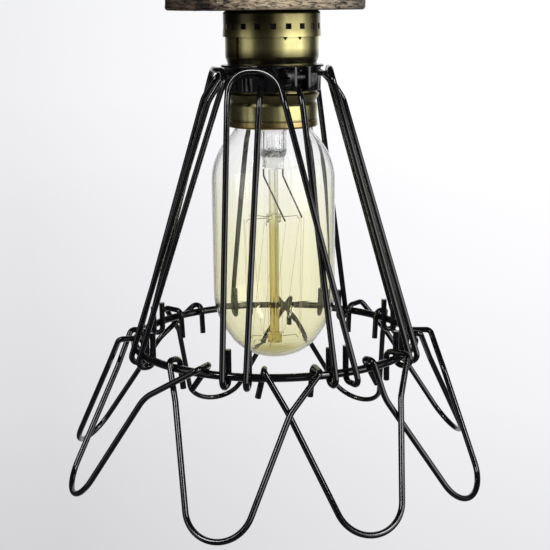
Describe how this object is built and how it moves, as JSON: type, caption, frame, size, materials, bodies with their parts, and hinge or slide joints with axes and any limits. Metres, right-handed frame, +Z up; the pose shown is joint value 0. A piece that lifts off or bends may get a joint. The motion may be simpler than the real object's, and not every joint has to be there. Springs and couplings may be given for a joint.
{
  "type": "pendant light",
  "caption": "Short ceiling pendant: a square wooden block holds a brass lamp socket with a tubular filament bulb inside a bell-shaped cage of hooked black wires and petals.",
  "frame": {"origin": "middle of the wooden block's top face, which lies against the ceiling, between the two fixing holes", "axes": "+Z up out of the ceiling face along the lamp's axis; +X from the middle towards the right fixing hole; -Y is the front"},
  "size_m": [0.1538, 0.1556, 0.1945],
  "materials": {
    "walnut": "dark oiled walnut, open grain",
    "plated_steel": "dull plated steel",
    "connector_plastic": "moulded off-white plastic",
    "terminal_brass": "plain brass",
    "lead_brown": "brown insulation",
    "lead_blue": "blue insulation",
    "antique_brass": "satin antique brass",
    "liner_fibre": "pressed fibre",
    "core_plastic": "moulded phenolic",
    "base_metal": "drawn brass",
    "base_black": "black vitrite",
    "bulb_glass": "clear glass with a pale straw tint",
    "clear_glass": "clear glass",
    "fine_wire": "bright drawn wire",
    "filament": "dull carbon thread",
    "black_wire": "gloss black paint"
  },
  "bodies": {
    "ceiling_mount": {"mounting_block": "walnut", "threaded_nipple": "plated_steel", "nipple_washer": "plated_steel", "nipple_nut": "plated_steel", "connector_block": "connector_plastic", "connector_screws": "terminal_brass", "live_lead": "lead_brown", "neutral_lead": "lead_blue", "socket_cap": "antique_brass", "cap_bushing": "antique_brass", "socket_shell": "antique_brass", "insulating_liner": "liner_fibre", "socket_core": "core_plastic", "core_screws": "terminal_brass", "screw_shell": "terminal_brass", "centre_contact": "terminal_brass"},
    "bulb_travel_stage": {"base_contact": "base_metal"},
    "bulb": {"base_insulator": "base_black", "bulb_screw_base": "base_metal", "bulb_glass": "bulb_glass", "glass_stem": "clear_glass", "glass_rod": "clear_glass", "upper_supports": "fine_wire", "lower_supports": "fine_wire", "lead_in_wires": "fine_wire", "filament": "filament"},
    "cage": {"clamp_band": "black_wire", "clamp_nut": "plated_steel", "cage_ring": "black_wire", "upper_wire_1": "black_wire", "upper_wire_2": "black_wire", "upper_wire_3": "black_wire", "upper_wire_4": "black_wire", "upper_wire_5": "black_wire", "upper_wire_6": "black_wire", "upper_wire_7": "black_wire", "upper_wire_8": "black_wire", "petal_1": "black_wire", "petal_2": "black_wire", "petal_3": "black_wire", "petal_4": "black_wire", "petal_5": "black_wire", "petal_6": "black_wire", "petal_7": "black_wire", "petal_8": "black_wire"},
    "washer": {"clamp_washer": "plated_steel"},
    "screw": {"clamp_screw": "plated_steel"}
  },
  "joints": [
    {"name": "bulb_travel", "type": "slide", "parent": "ceiling_mount", "child": "bulb_travel_stage", "axis": [0, 0, -1], "range_m": [0, 0.0146]},
    {"name": "bulb_turn", "type": "hinge", "parent": "bulb_travel_stage", "child": "bulb", "pos_m": [0, 0, -0.05], "axis": [0, 0, -1], "range_deg": [0, 1440]},
    {"name": "cage_turn", "type": "hinge", "parent": "ceiling_mount", "child": "cage", "pos_m": [0, 0, -0.051], "axis": [0, 0, 1], "continuous": true},
    {"name": "clamp_screw_travel", "type": "slide", "parent": "cage", "child": "washer", "axis": [-0.8704, -0.4924, 0], "range_m": [0, 0.0009]},
    {"name": "clamp_screw_turn", "type": "hinge", "parent": "washer", "child": "screw", "pos_m": [0.01098, -0.01941, -0.0504], "axis": [-0.8704, -0.4924, 0], "range_deg": [0, 720]}
  ],
  "couplings": [
    {"joint": "bulb_travel", "follows": "bulb_turn", "m_per_rad": 0.00057774},
    {"joint": "clamp_screw_turn", "follows": "clamp_screw_travel", "rad_per_m": 13963}
  ]
}
